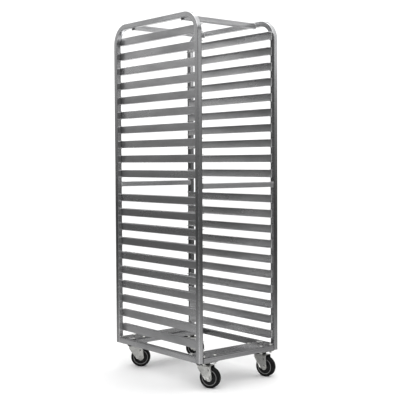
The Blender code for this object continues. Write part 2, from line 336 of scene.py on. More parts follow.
def turnedMesh(name, section, steps=64):
    # a closed (radius, height) section turned about Z
    work = bmesh.new()
    rings = []
    for step in range(steps):
        angle = 2 * math.pi * step / steps
        rings.append([
            work.verts.new((radius * math.cos(angle), radius * math.sin(angle), height))
            for radius, height in section
        ])
    for step, ring in enumerate(rings):
        nextRing = rings[(step + 1) % steps]
        for index in range(len(section)):
            if section[index - 1][0] == 0 and section[index][0] == 0:
                continue
            work.faces.new((ring[index - 1], nextRing[index - 1], nextRing[index], ring[index]))
    return closedMesh(name, work)


def layeredMesh(name, layers):
    # rings of points, one above another, with a flat face on the first and on the last
    work = bmesh.new()
    rings = [[work.verts.new(point) for point in layer] for layer in layers]
    for lower, upper in zip(rings, rings[1:]):
        for index in range(len(lower)):
            work.faces.new((lower[index - 1], lower[index], upper[index], upper[index - 1]))
    work.faces.new(list(reversed(rings[0])))
    work.faces.new(rings[-1])
    return closedMesh(name, work)


def inset(points, distance):
    # a counter-clockwise outline moved inwards
    moved = []
    for index, point in enumerate(points):
        here = Vector(point)
        before = (here - Vector(points[index - 1])).normalized()
        after = (Vector(points[(index + 1) % len(points)]) - here).normalized()
        bisector = Vector((-before.y - after.y, before.x + after.x)).normalized()
        spread = max(bisector.dot(Vector((-before.y, before.x))), 0.3)
        moved.append(here + bisector * distance / spread)
    return moved


def joined(name, *parts):
    # several (mesh, matrix) parts as one mesh
    work = bmesh.new()
    for mesh, matrix in parts:
        part = mesh.copy()
        part.transform(matrix)
        work.from_mesh(part)
        bpy.data.meshes.remove(part)
    mesh = bpy.data.meshes.new(name)
    work.to_mesh(mesh)
    work.free()
    return mesh


def cut(mesh, *tools):
    # each tool is a mesh taken away from the piece
    holder = bpy.data.objects.new("holder", mesh)
    scene.collection.objects.link(holder)
    helpers = []
    for tool in tools:
        helper = bpy.data.objects.new("tool", tool)
        scene.collection.objects.link(helper)
        helpers.append(helper)
        taken = holder.modifiers.new("cut", "BOOLEAN")
        taken.operation = "DIFFERENCE"
        taken.solver = "EXACT"
        taken.object = helper
    result = bakedMesh(holder)
    for helper in helpers + [holder]:
        bpy.data.objects.remove(helper)
    return result


def addPiece(name, mesh, material, body, slotName, *nodes):
    mesh.name = name
    mesh.materials.clear()
    mesh.materials.append(material)
    piece = bpy.data.objects.new(name, mesh)
    scene.collection.objects.link(piece)
    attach(piece, body)
    if nodes:
        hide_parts(*nodes)
    return piece


# ---- materials ----
metalLook = {
    "colour": (0.74, 0.74, 0.75, 1),
    "shade": (0.56, 0.565, 0.575, 1),    # where the skin is duller
    "roughness": (0.15, 0.28),
    "linesAlong": 5.0,                   # per metre, drawing lines left by the die
    "linesAcross": 900.0,
    "lineDepth": 0.00006,
    "patchesAlong": 3.0,
    "patchesAcross": 14.0,
    "speckle": 0.10,                     # how much the fine mottling shows
    "frameShade": 0.55,                        # painted shade on the side frames' inner faces, and where bars and channels meet them
    "frameShadeReach": (0.0012, 0.006),        # how far it stays full, and where it has gone
    "frameShadeTop": 1.72,                     # and how high up the frame it goes
    "bendPaintedShade": 0.0,                    # painted shade: how much darker the outside of a bend is drawn
    "bendSlope": 0.54,                   # the middle of a bend, as the upright part of its normal
    "bendSpread": (0.36, 0.455),         # how far from there the painted shade starts and is full
    "innerShade": 0.0,                   # painted shade: how much darker a slide is drawn under its top flange, on the pan side
    "innerPaintedLift": 1.10,                   # and painted light: how much brighter it is drawn near its bottom flange
    "innerLevels": (0.003, 0.034),       # heights up the slide's section between the two
    "rearwardsPaintedTone": (0.80, 1.45),       # painted shade and light on that face: darker at the front, brighter towards the rear
    "rearwardsReach": 0.55,
}


def newMaterial(name, colour, roughness, metallic):
    material = bpy.data.materials.new(name)
    material.use_nodes = True
    tree = material.node_tree
    shader = tree.nodes["Principled BSDF"]
    shader.inputs["Base Color"].default_value = colour
    shader.inputs["Roughness"].default_value = roughness
    shader.inputs["Metallic"].default_value = metallic
    if not metallic:
        shader.inputs["Specular IOR Level"].default_value = 0.15
    return material, tree, shader


def drawnAluminium(name, look):
    material, tree, shader = newMaterial(name, look["colour"], look["roughness"][0], 1.0)
    grain = addNode(tree, "ShaderNodeAttribute", attribute_name="grain").outputs["Vector"]
    finePlace = addNode(tree, "ShaderNodeMapping", {
        "Vector": grain, "Scale": (look["linesAlong"], look["linesAcross"], 7.3)})
    lines = addNode(tree, "ShaderNodeTexNoise", {
        "Vector": finePlace.outputs[0], "Scale": 1.0, "Detail": 3.0, "Roughness": 0.6})
    widePlace = addNode(tree, "ShaderNodeMapping", {
        "Vector": grain, "Scale": (look["patchesAlong"], look["patchesAcross"], 3.1)})
    patches = addNode(tree, "ShaderNodeTexNoise", {
        "Vector": widePlace.outputs[0], "Scale": 1.0, "Detail": 5.0, "Roughness": 0.62})
    dull = addNode(tree, "ShaderNodeMapRange", {
        "Value": patches.outputs["Fac"], "From Min": 0.35, "From Max": 0.68})
    colour = addNode(tree, "ShaderNodeMix", {
        "Factor": dull.outputs[0], 6: look["colour"], 7: look["shade"]}, data_type="RGBA")
    place = addNode(tree, "ShaderNodeTexCoord").outputs["Object"]
    grit = addNode(tree, "ShaderNodeTexNoise", {"Vector": place, "Scale": 320.0, "Detail": 2.0})
    fine = addNode(tree, "ShaderNodeMapRange", {
        "Value": grit.outputs["Fac"], "From Min": 0.3, "From Max": 0.7,
        "To Min": 1.0 - look["speckle"], "To Max": 1.0 + look["speckle"]})
    sideways = addNode(tree, "ShaderNodeSeparateXYZ", {"Vector": place})
    # painted shade: darker within a few millimetres of the side frames' inner faces, below a height
    out = maths(tree, "ABSOLUTE", sideways.outputs["X"])
    gap = maths(tree, "SUBTRACT", out.outputs[0], innerX)
    near = maths(tree, "ABSOLUTE", gap.outputs[0])
    frameShadeMask = addNode(tree, "ShaderNodeMapRange", {
        "Value": near.outputs[0], "From Min": look["frameShadeReach"][0], "From Max": look["frameShadeReach"][1],
        "To Min": 1.0 - look["frameShade"], "To Max": 1.0})
    unshadedAbove = maths(tree, "GREATER_THAN", sideways.outputs["Z"], look["frameShadeTop"])
    frameShadeMask = maths(tree, "MAXIMUM", frameShadeMask.outputs[0], unshadedAbove.outputs[0])
    mottleAndPaintedShade = maths(tree, "MULTIPLY", fine.outputs[0], frameShadeMask.outputs[0])
    normal = addNode(tree, "ShaderNodeNewGeometry").outputs["Normal"]
    tilt = addNode(tree, "ShaderNodeSeparateXYZ", {"Vector": normal})
    # painted shade under the top flange, and painted light near the bottom flange and towards the rear, on
    # the pan side of the slides
    if look["innerShade"]:
        level = addNode(tree, "ShaderNodeAttribute", attribute_name="level").outputs["Fac"]
        flangeShadeAndLight = addNode(tree, "ShaderNodeMapRange", {
            "Value": level, "From Min": look["innerLevels"][0], "From Max": look["innerLevels"][1],
            "To Min": 1.0 - look["innerShade"], "To Max": look["innerPaintedLift"]})
        length = addNode(tree, "ShaderNodeSeparateXYZ", {"Vector": grain}).outputs["X"]
        rearwards = addNode(tree, "ShaderNodeMapRange", {
            "Value": length, "From Min": 0.0, "From Max": look["rearwardsReach"],
            "To Min": look["rearwardsPaintedTone"][0], "To Max": look["rearwardsPaintedTone"][1]})
        inner = maths(tree, "MULTIPLY", flangeShadeAndLight.outputs[0], rearwards.outputs[0])
        facing = maths(tree, "MULTIPLY", tilt.outputs["X"], sideways.outputs["X"])
        inwards = maths(tree, "LESS_THAN", facing.outputs[0], -0.1)
        panSide = addNode(tree, "ShaderNodeMix", {
            "Factor": inwards.outputs[0], 2: 1.0, 3: inner.outputs[0]}, data_type="FLOAT")
        mottleAndPaintedShade = maths(tree, "MULTIPLY", mottleAndPaintedShade.outputs[0], panSide.outputs[0])
    # painted shade on faces that lean at a bend's slope, set by which way they face
    if look["bendPaintedShade"]:
        upright = maths(tree, "ABSOLUTE", tilt.outputs["Z"])
        away = maths(tree, "SUBTRACT", upright.outputs[0], look["bendSlope"])
        flat = maths(tree, "ABSOLUTE", away.outputs[0])
        bendShadeMask = addNode(tree, "ShaderNodeMapRange", {
            "Value": flat.outputs[0], "From Min": look["bendSpread"][0], "From Max": look["bendSpread"][1],
            "To Min": 1.0 - look["bendPaintedShade"], "To Max": 1.0})
        mottleAndPaintedShade = maths(tree, "MULTIPLY", mottleAndPaintedShade.outputs[0], bendShadeMask.outputs[0])
    tone = addNode(tree, "ShaderNodeMix", {
        "Factor": 1.0, 6: colour.outputs[2], 7: mottleAndPaintedShade.outputs[0]}, data_type="RGBA", blend_type="MULTIPLY")
    rough = addNode(tree, "ShaderNodeMapRange", {
        "Value": patches.outputs["Fac"], "From Min": 0.3, "From Max": 0.7,
        "To Min": look["roughness"][0], "To Max": look["roughness"][1]})
    bump = addNode(tree, "ShaderNodeBump", {
        "Height": lines.outputs["Fac"], "Strength": 1.0, "Distance": look["lineDepth"]})
    tree.links.new(tone.outputs[2], shader.inputs["Base Color"])
    tree.links.new(rough.outputs[0], shader.inputs["Roughness"])
    tree.links.new(bump.outputs[0], shader.inputs["Normal"])
    return material


zincLook = {
    "colour": (0.83, 0.83, 0.80, 1),
    "shade": (0.62, 0.62, 0.60, 1),
    "roughness": (0.22, 0.40),
    "spangle": 240.0,                    # crystals per metre
    "pitting": 1800.0,
    "pitDepth": 0.00003,
}


def platedZinc(name, look):
    material, tree, shader = newMaterial(name, look["colour"], look["roughness"][0], 1.0)
    place = addNode(tree, "ShaderNodeTexCoord").outputs["Object"]
    spangle = addNode(tree, "ShaderNodeTexVoronoi", {"Vector": place, "Scale": look["spangle"]})
    clouds = addNode(tree, "ShaderNodeTexNoise", {
        "Vector": place, "Scale": 45.0, "Detail": 4.0, "Roughness": 0.6})
    mixed = addNode(tree, "ShaderNodeMix", {
        "Factor": 0.72, 2: spangle.outputs["Distance"], 3: clouds.outputs["Fac"]}, data_type="FLOAT")
    dull = addNode(tree, "ShaderNodeMapRange", {
        "Value": mixed.outputs[0], "From Min": 0.32, "From Max": 0.68})
    colour = addNode(tree, "ShaderNodeMix", {
        "Factor": dull.outputs[0], 6: look["colour"], 7: look["shade"]}, data_type="RGBA")
    rough = addNode(tree, "ShaderNodeMapRange", {
        "Value": dull.outputs[0], "To Min": look["roughness"][0], "To Max": look["roughness"][1]})
    pits = addNode(tree, "ShaderNodeTexNoise", {"Vector": place, "Scale": look["pitting"], "Detail": 2.0})
    bump = addNode(tree, "ShaderNodeBump", {
        "Height": pits.outputs["Fac"], "Strength": 1.0, "Distance": look["pitDepth"]})
    tree.links.new(colour.outputs[2], shader.inputs["Base Color"])
    tree.links.new(rough.outputs[0], shader.inputs["Roughness"])
    tree.links.new(bump.outputs[0], shader.inputs["Normal"])
    return material


def mouldedRubber(name, look):
    material, tree, shader = newMaterial(name, look["colour"], look["roughness"][0], 0.0)
    place = addNode(tree, "ShaderNodeTexCoord").outputs["Object"]
    scuffs = addNode(tree, "ShaderNodeTexNoise", {
        "Vector": place, "Scale": look["scuffs"], "Detail": 5.0, "Roughness": 0.65})
    worn = addNode(tree, "ShaderNodeMapRange", {
        "Value": scuffs.outputs["Fac"], "From Min": 0.45, "From Max": 0.75})
    colour = addNode(tree, "ShaderNodeMix", {
        "Factor": worn.outputs[0], 6: look["colour"], 7: look["dust"]}, data_type="RGBA")
    rough = addNode(tree, "ShaderNodeMapRange", {
        "Value": scuffs.outputs["Fac"], "From Min": 0.3, "From Max": 0.7,
        "To Min": look["roughness"][0], "To Max": look["roughness"][1]})
    pores = addNode(tree, "ShaderNodeTexNoise", {"Vector": place, "Scale": look["pores"], "Detail": 2.0})
    bump = addNode(tree, "ShaderNodeBump", {
        "Height": pores.outputs["Fac"], "Strength": 0.6, "Distance": look["poreDepth"]})
    tree.links.new(colour.outputs[2], shader.inputs["Base Color"])
    tree.links.new(rough.outputs[0], shader.inputs["Roughness"])
    tree.links.new(bump.outputs[0], shader.inputs["Normal"])
    return material


aluminium = drawnAluminium("drawnAluminium", metalLook)
slideAluminium = drawnAluminium("slideAluminium", dict(
    metalLook, colour=(0.92, 0.92, 0.93, 1), shade=(0.60, 0.60, 0.61, 1), roughness=(0.24, 0.34),
    lineDepth=0.00010, patchesAlong=2.0, patchesAcross=8.0, frameShade=0.0, speckle=0.06, innerShade=0.42))
barAluminium = drawnAluminium("barAluminium", dict(
    metalLook, frameShadeTop=9.0, colour=(0.86, 0.86, 0.87, 1), shade=(0.66, 0.66, 0.67, 1), roughness=(0.34, 0.46),
    lineDepth=0.00018))
channelAluminium = drawnAluminium("channelAluminium", dict(
    metalLook, colour=(0.70, 0.70, 0.71, 1), shade=(0.48, 0.48, 0.49, 1), bendPaintedShade=0.62))
weldMetal = platedZinc("weldMetal", dict(
    zincLook, colour=(1.0, 1.0, 1.0, 1), shade=(0.92, 0.92, 0.92, 1), roughness=(0.30, 0.42)))
zinc = platedZinc("brightZinc", zincLook)
treadRubber = mouldedRubber("treadRubber", {
    "colour": (0.0035, 0.0035, 0.0038, 1), "dust": (0.010, 0.010, 0.010, 1),
    "roughness": (0.38, 0.60), "scuffs": 60.0, "pores": 2500.0, "poreDepth": 0.00004})
coreRubber = mouldedRubber("coreRubber", {
    "colour": (0.008, 0.008, 0.0085, 1), "dust": (0.018, 0.018, 0.018, 1),
    "roughness": (0.30, 0.48), "scuffs": 90.0, "pores": 1600.0, "poreDepth": 0.00003})
ringRubber = mouldedRubber("ringRubber", {
    "colour": (0.19, 0.19, 0.19, 1), "dust": (0.27, 0.27, 0.27, 1),
    "roughness": (0.28, 0.42), "scuffs": 120.0, "pores": 1600.0, "poreDepth": 0.00002})
print("materials made")

# ---- square tubes ----
tubeLook = {"wall": 0.0018, "edgeRadius": 0.0024, "bendRadius": 0.1016, "bendSteps": 20}
tubeTree = squareTubeTree()
tubeCount = 0


def squareTube(points, width, height, material, bendRadius=0.0, closedEnds=False):
    global tubeCount
    tubeCount += 1
    return runTree(tubeTree, pathMesh(points), {
        "Width": width, "Height": height, "Edge Radius": tubeLook["edgeRadius"],
        "Bend Radius": bendRadius, "Bend Steps": tubeLook["bendSteps"], "Closed Ends": closedEnds,
        "Number": tubeCount * 2.7, "Material": material,
    }, wall=0.0 if closedEnds else tubeLook["wall"])


def addSideFrame(side):
    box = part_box("side_frame_" + side)
    x = (box[0].x + box[1].x) / 2
    half = tubeSize / 2
    railHeight = webTopZ - baseZ
    bent = squareTube([
        (x, frontY + half, baseZ), (x, frontY + half, topZ - half),
        (x, rearY - half, topZ - half), (x, rearY - half, baseZ),
    ], tubeSize, tubeSize, aluminium, tubeLook["bendRadius"] - half)
    rail = squareTube([
        (x, frontY + tubeSize, baseZ + railHeight / 2), (x, rearY - tubeSize, baseZ + railHeight / 2),
    ], tubeSize, railHeight, aluminium)
    mesh = joined("frame", (bent, Matrix()), (rail, Matrix()))
    addPiece(side + "SideFrame", mesh, aluminium, "rack", "aluminium", "side_frame_" + side)


def addCrossTube(name, node):
    low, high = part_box(node)
    y, z = (low.y + high.y) / 2, (low.z + high.z) / 2
    mesh = squareTube(
        [(-innerX, y, z), (innerX, y, z)], high.y - low.y, high.z - low.z, barAluminium, closedEnds=True)
    addPiece(name, mesh, barAluminium, "rack", "aluminium", node)


for side in ("left", "right"):
    addSideFrame(side)
for end in ("front", "rear"):
    addCrossTube(end + "TopBar", "top_bar_" + end)
    addCrossTube(end + "MidBrace", "mid_brace_" + end)
print("tubes done")

# ---- slides and caster channels ----
slideLook = {"wall": 0.0020, "bend": 0.0032, "bendSteps": 4, "edge": 0.0004}
channelLook = {"wall": 0.0032, "bend": 0.0060, "bendSteps": 5, "holeRadius": 0.0110}
channelTree = extrusionTree()


def addSlides(side):
    sign = -1 if side == "left" else 1
    nodes = [f"slide_{side}_{number:02d}" for number in slideNumbers]
    low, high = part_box(nodes[0])
    web = high.x if sign > 0 else -low.x
    tip = low.x if sign > 0 else -high.x
    height, wall, bend = high.z - low.z, slideLook["wall"], slideLook["bend"]
    crook = bend - wall
    edge = slideLook["edge"]
    outline = [
        (tip, 0, edge), (tip, -wall, edge), (web - wall, -wall, crook),
        (web - wall, wall - height, crook), (tip, wall - height, edge), (tip, -height, edge),
        (web, -height, bend), (web, 0, bend),
    ]
    points = [(sign * x, z) for x, z in roundedOutline(outline, slideLook["bendSteps"])]
    section = sectionCurve("slideSection", points)
    spots = [(0, (low.y + high.y) / 2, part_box(node)[1].z) for node in nodes]
    mesh = runTree(channelTree, pathMesh(spots[:1], *[[spot] for spot in spots[1:]]), {
        "Section": section, "Length": high.y - low.y, "Number": 40.0 * sign, "Material": slideAluminium})
    bpy.data.objects.remove(section)
    addPiece(side + "Slides", mesh, slideAluminium, "rack", "aluminium", *nodes)


def addCasterChannel(end):
    low, high = channelBox[end]
    half, height = (high.y - low.y) / 2, high.z - low.z
    wall, bend = channelLook["wall"], channelLook["bend"]
    inside, crook = half - wall, bend - wall
    outline = [
        (-half, 0, 0), (-inside, 0, 0), (-inside, height - wall, crook),
        (inside, height - wall, crook), (inside, 0, 0), (half, 0, 0), (half, height, bend),
        (-half, height, bend),
    ]
    section = sectionCurve("channelSection", roundedOutline(outline, channelLook["bendSteps"]))
    mesh = runTree(channelTree, pathMesh([(0, (low.y + high.y) / 2, low.z)]), {
        "Section": section, "Length": 2 * innerX, "Turn": math.pi / 2,
        "Number": 90.0 if end == "front" else 94.0, "Material": channelAluminium})
    bpy.data.objects.remove(section)
    radius = channelLook["holeRadius"]
    drills = []
    for corner in corners:
        if corner.startswith(end):
            x, y, _ = jointOf["swivel_" + corner]["pos_m"]
            drill = turnedMesh("drill", [(0, -0.01), (radius, -0.01), (radius, 0.01), (0, 0.01)], 40)
            drill.transform(Matrix.Translation((x, y, high.z)))
            drills.append(drill)
    mesh = crisp(cut(mesh, *drills), 50)
    addPiece(end + "CasterChannel", mesh, channelAluminium, "rack", "aluminium", "caster_channel_" + end)


for side in ("left", "right"):
    addSlides(side)
for end in ("front", "rear"):
    addCasterChannel(end)
print("channels done")

# ---- welds ----
weldLook = {
    "slideBead": 0.0025, "slideRun": 0.0110, "tubeBead": 0.0030, "tubeMargin": 0.003,
    "ripple": 0.0011, "depth": 0.16,
}
beadTree = weldTree()


def slideRuns():
    # a bead down each end of each slide and a short one over and under it, on the post
    for side, sign in (("left", -1), ("right", 1)):
        x = sign * innerX
        for number in slideNumbers:
            low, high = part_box(f"slide_{side}_{number:02d}")
            for endY, inward in ((low.y, 1), (high.y, -1)):
                reach = endY + inward * weldLook["slideRun"]
                yield [(x, reach, high.z), (x, endY, high.z)]
                yield [(x, endY, high.z), (x, endY, low.z), (x, reach, low.z)]


def tubeRuns():
    # up both faces and along the foot of each bar and brace, where it meets the side frames
    margin = weldLook["tubeMargin"]
    for node in ("top_bar_front", "top_bar_rear", "mid_brace_front", "mid_brace_rear"):
        low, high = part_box(node)
        for x in (-innerX, innerX):
            for y in (low.y, high.y):
                yield [(x, y, low.z + margin), (x, y, high.z - margin)]
            for z in (low.z, high.z):
                yield [(x, low.y + margin, z), (x, high.y - margin, z)]


def baseRuns():
    # the caster channels to the bottom rails, and the bottom rails between the posts
    margin = weldLook["tubeMargin"]
    for low, high in channelBox.values():
        bend = channelLook["bend"]
        for x in (-innerX, innerX):
            inner = high.y if high.y < middleY else low.y
            yield [(x, inner, low.z + margin), (x, inner, high.z - bend)]
            yield [(x, low.y + bend, high.z), (x, low.y + 5 * bend, high.z)]
            yield [(x, high.y - 5 * bend, high.z), (x, high.y - bend, high.z)]
    for box in (leftBox, rightBox):
        for y in (frontY + tubeSize, rearY - tubeSize):
            yield [(box[0].x + margin, y, webTopZ), (box[1].x - margin, y, webTopZ)]


def addWelds(name, runs, bead, seed):
    # a bead never stands past the outside of the posts
    skin = 1.05 * bead
    runs = [[(x, min(max(y, frontY + skin), rearY - skin), z) for x, y, z in run] for run in runs]
    mesh = runTree(beadTree, pathMesh(*runs), {
        "Bead Radius": bead, "Ripple": weldLook["ripple"], "Ripple Depth": weldLook["depth"],
        "Seed": seed, "Material": weldMetal}, sharpAngle=80)
    addPiece(name, mesh, weldMetal, "rack", "aluminium")


addWelds("slideWelds", slideRuns(), weldLook["slideBead"], 3)
addWelds("tubeWelds", tubeRuns(), weldLook["tubeBead"], 5)
addWelds("baseWelds", baseRuns(), weldLook["tubeBead"], 8)
print("welds done")

# ---- casters ----
plateLook = {"corner": 0.008, "edge": 0.0006, "holeSpread": (0.0667, 0.0921)}
boltLook = {"headRadius": 0.0092, "headHeight": 0.0042, "washer": 0.0090, "nutRadius": 0.0072,
            "nutHeight": 0.0062, "shank": 0.0040, "tail": 0.0024}
swivelLook = {"raceRadius": 0.0340, "blackRingRadius": 0.0335, "kingpinRadius": 0.0095}
forkLook = {"gap": 0.0400, "sheet": 0.0030, "lead": 0.0240, "reach": 0.0490, "footWidth": 0.0370,
            "footDepth": 0.0100, "top": 0.1100, "rim": 0.0024, "rimWidth": 0.0044,
            "creaseAt": 0.012, "creaseSlope": 0.24, "slot": (0.0350, 0.0885, 0.0024, 0.0055)}
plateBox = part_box("caster_plate_front_left")
plateUnder, plateTop = plateBox[0].z, plateBox[1].z
wheelCentre = {corner: Vector(jointOf["roll_" + corner]["pos_m"]) for corner in corners}
swivelCentre = {corner: Vector(jointOf["swivel_" + corner]["pos_m"]) for corner in corners}
trail = (wheelCentre["front_left"] - swivelCentre["front_left"]).to_2d().length
axleZ = wheelCentre["front_left"].z


def swivelMatrix(corner):
    reach = wheelCentre[corner] - swivelCentre[corner]
    turn = Matrix.Rotation(math.atan2(reach.y, reach.x), 4, "Z")
    return Matrix.Translation((swivelCentre[corner].x, swivelCentre[corner].y, 0)) @ turn


def placed(mesh, matrix):
    copy = mesh.copy()
    copy.transform(matrix)
    return copy


def plateMesh():
    low, high = plateBox
    halfX, halfY = (high.x - low.x) / 2, (high.y - low.y) / 2
    radius, edge = plateLook["corner"], plateLook["edge"]
    outline = roundedOutline([
        (-halfX, -halfY, radius), (halfX, -halfY, radius), (halfX, halfY, radius),
        (-halfX, halfY, radius)], 8)
    smaller = inset(outline, edge)
    layers = [
        [(x, y, plateUnder) for x, y in smaller], [(x, y, plateUnder + edge) for x, y in outline],
        [(x, y, plateTop - edge) for x, y in outline], [(x, y, plateTop) for x, y in smaller],
    ]
    return crisp(layeredMesh("plate", layers), 50)


def raceMesh():
    # the pressed dome that carries the upper balls, under the plate
    radius = swivelLook["raceRadius"]
    return crisp(turnedMesh("race", [
        (0.012, plateUnder), (radius, plateUnder), (radius + 0.0012, plateUnder - 0.0008),
        (radius, plateUnder - 0.0022), (radius - 0.0010, plateUnder - 0.0030),
        (0.012, plateUnder - 0.0030)]))


# a near-black rubber ring between the upper race and the fork's crown, where the swivel shows black
def blackRingMesh():
    radius, top = swivelLook["blackRingRadius"], plateUnder - 0.0032
    foot = forkLook["top"] + 0.0028
    return crisp(turnedMesh("blackRing", [
        (0.014, top), (radius - 0.0018, top), (radius - 0.0004, top - 0.0012), (radius, top - 0.004),
        (radius - 0.0004, foot + 0.0012), (radius - 0.0018, foot), (0.014, foot)]))


def kingpinMesh():
    radius, top = swivelLook["kingpinRadius"], plateTop
    return crisp(turnedMesh("kingpin", [
        (0, top - 0.001), (radius, top - 0.001), (radius, top + 0.0042), (radius - 0.0012, top + 0.0058),
        (radius * 0.55, top + 0.0066), (radius * 0.42, top + 0.0052), (0, top + 0.0048)]), 40)


def headMesh():
    radius, height = boltLook["headRadius"], boltLook["headHeight"]
    dome = [(radius * math.cos(step * math.pi / 12), height * math.sin(step * math.pi / 12))
            for step in range(7)]
    return turnedMesh("head", [(0, -0.0005), (radius, -0.0005)] + dome[:-1] + [(0, height)], 24)


def nutMesh():
    # washer, hexagon nut and the bolt's end, hanging from Z = 0
    washer, nut, height = boltLook["washer"], boltLook["nutRadius"], boltLook["nutHeight"]
    shank, low = boltLook["shank"], -0.0014
    foot = low - height
    ring = turnedMesh("washer", [(0, 0), (washer, 0), (washer, low), (0, low)], 24)
    hexagon = turnedMesh("nut", [
        (0, low), (nut, low), (nut, foot + 0.0008), (nut - 0.0010, foot), (0, foot)], 6)
    end = turnedMesh("end", [
        (0, foot + 0.001), (shank, foot + 0.001), (shank, foot - boltLook["tail"] + 0.0008),
        (shank - 0.0008, foot - boltLook["tail"]), (0, foot - boltLook["tail"])], 16)
    return joined("nut", (ring, Matrix()), (hexagon, Matrix()), (end, Matrix()))


def addPlateBolts():
    spreadX, spreadY = plateLook["holeSpread"]
    spots = [
        (swivelCentre[corner].x + alongX * spreadX / 2, swivelCentre[corner].y + alongY * spreadY / 2)
        for corner in corners for alongX in (-1, 1) for alongY in (-1, 1)
    ]
    for name, mesh, height, seed in (
        ("plateBoltHeads", headMesh(), webTopZ, 2), ("plateBoltNuts", nutMesh(), plateUnder, 4)
    ):
        source = bpy.data.objects.new("fastener", mesh)
        scene.collection.objects.link(source)
        points = pathMesh(*[[(x, y, height)] for x, y in spots])
        result = runTree(boltTree, points, {"Fastener": source, "Seed": seed, "Material": zinc})
        bpy.data.objects.remove(source)
        addPiece(name, result, zinc, "rack", "zinc")


def legMesh(side):
    # a pressed leg whose edge is turned outwards all round
    look = forkLook
    footLow = axleZ - look["footDepth"]
    outline = roundedOutline([
        (trail - look["footWidth"] / 2, footLow, 0.012), (trail + look["footWidth"] / 2, footLow, 0.010),
        (look["reach"], look["top"] - 0.001, 0.004), (-look["lead"], look["top"] - 0.001, 0.004),
        (-look["lead"], look["top"] - 0.014, 0.006)], 6)
    near, face = look["gap"] / 2, look["gap"] / 2 + look["sheet"]
    rim, width = look["rim"], look["rimWidth"]
    rings = [
        (0.0, near), (0.0, face + 0.6 * rim), (0.25 * rim, face + 0.92 * rim), (0.55 * rim, face + rim),
        (0.45 * width, face + rim), (0.62 * width, face + 0.8 * rim), (0.85 * width, face + 0.15 * rim),
        (width, face),
    ]

    def bent(x, y):
        return y - max(look["creaseAt"] - x, 0) * look["creaseSlope"]

    layers = [
        [(x, side * bent(x, y), z) for x, z in inset(outline, distance)] for distance, y in rings
    ]
    mesh = layeredMesh("leg", layers)
    slotX, slotZ, halfWide, halfHigh = look["slot"]
    hole = roundedOutline([
        (slotX - halfWide, slotZ - halfHigh, 0.002), (slotX + halfWide, slotZ - halfHigh, 0.002),
        (slotX + halfWide, slotZ + halfHigh, 0.002), (slotX - halfWide, slotZ + halfHigh, 0.002)], 5)
    punch = layeredMesh("punch", [
        [(x, side * (near - 0.005), z) for x, z in hole], [(x, side * (face + 0.005), z) for x, z in hole]])
    return crisp(cut(mesh, punch), 40)


def crownMesh():
    look = forkLook
    half = look["gap"] / 2 + look["sheet"]
    outline = roundedOutline([
        (-look["lead"] - 0.002, -half, 0.007), (look["reach"] - 0.002, -half, 0.007),
        (look["reach"] - 0.002, half, 0.007), (-look["lead"] - 0.002, half, 0.007)], 6)
    low, high = look["top"] - look["sheet"], look["top"]
    layers = [[(x, y, low) for x, y in inset(outline, 0.0004)], [(x, y, low + 0.0004) for x, y in outline]]
    for step in range(1, 6):
        angle = step * math.pi / 10
        drop = 0.0022
        layers.append([
            (x, y, high - drop + drop * math.sin(angle))
            for x, y in inset(outline, drop * (1 - math.cos(angle)))])
    top = look["top"]
    radius = swivelLook["blackRingRadius"]
    race = turnedMesh("lowerRace", [
        (0.010, top - 0.001), (radius - 0.006, top - 0.001), (radius + 0.0008, top + 0.0006),
        (radius + 0.0008, top + 0.0020), (radius - 0.001, top + 0.0025), (0.010, top + 0.0025)])
    return crisp(layeredMesh("crown", layers), 40), crisp(race)


def axleMesh():
    face = forkLook["gap"] / 2 + forkLook["sheet"]

    def at(y, flip=1):
        return Matrix.Translation((trail, y, axleZ)) @ Matrix.Rotation(flip * math.pi / 2, 4, "X")

    washer = turnedMesh("washer", [(0, 0), (0.0092, 0), (0.0092, 0.0011), (0, 0.0011)], 32)
    head = turnedMesh("head", [
        (0, 0.0008), (0.0078, 0.0008), (0.0078, 0.0040), (0.0068, 0.0052), (0, 0.0053)], 6)
    end = turnedMesh("end", [
        (0, 0.004), (0.0038, 0.004), (0.0038, 0.0049), (0.0032, 0.0054), (0, 0.0054)], 20)
    shank = turnedMesh("shank", [(0, -0.0235), (0.0060, -0.0235), (0.0060, 0.0235), (0, 0.0235)], 24)
    guard = turnedMesh("guard", [
        (0.0061, -0.0004), (0.0150, -0.0004), (0.0165, 0.0004), (0.0165, 0.0010), (0.0061, 0.0010)], 40)
    return crisp(joined(
        "axle", (washer, at(-face)), (head, at(-face)), (washer, at(face, -1)), (head, at(face, -1)),
        (end, at(face, -1)), (shank, at(0)), (guard, at(-forkLook["gap"] / 2 + 0.0008)),
        (guard, at(forkLook["gap"] / 2 - 0.0008, -1))), 30)


def mirroredSection(half):
    return half + [(radius, -offset) for radius, offset in reversed(half)]


wheelLook = {"radius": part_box("caster_wheel_front_left")[1].z / 2, "halfTread": 0.0100,
             "halfWidth": 0.0158, "beadRadius": 0.0386, "ringRadius": 0.0368, "hubRadius": 0.0165,
             "hubHalf": 0.0186, "bore": 0.0062}


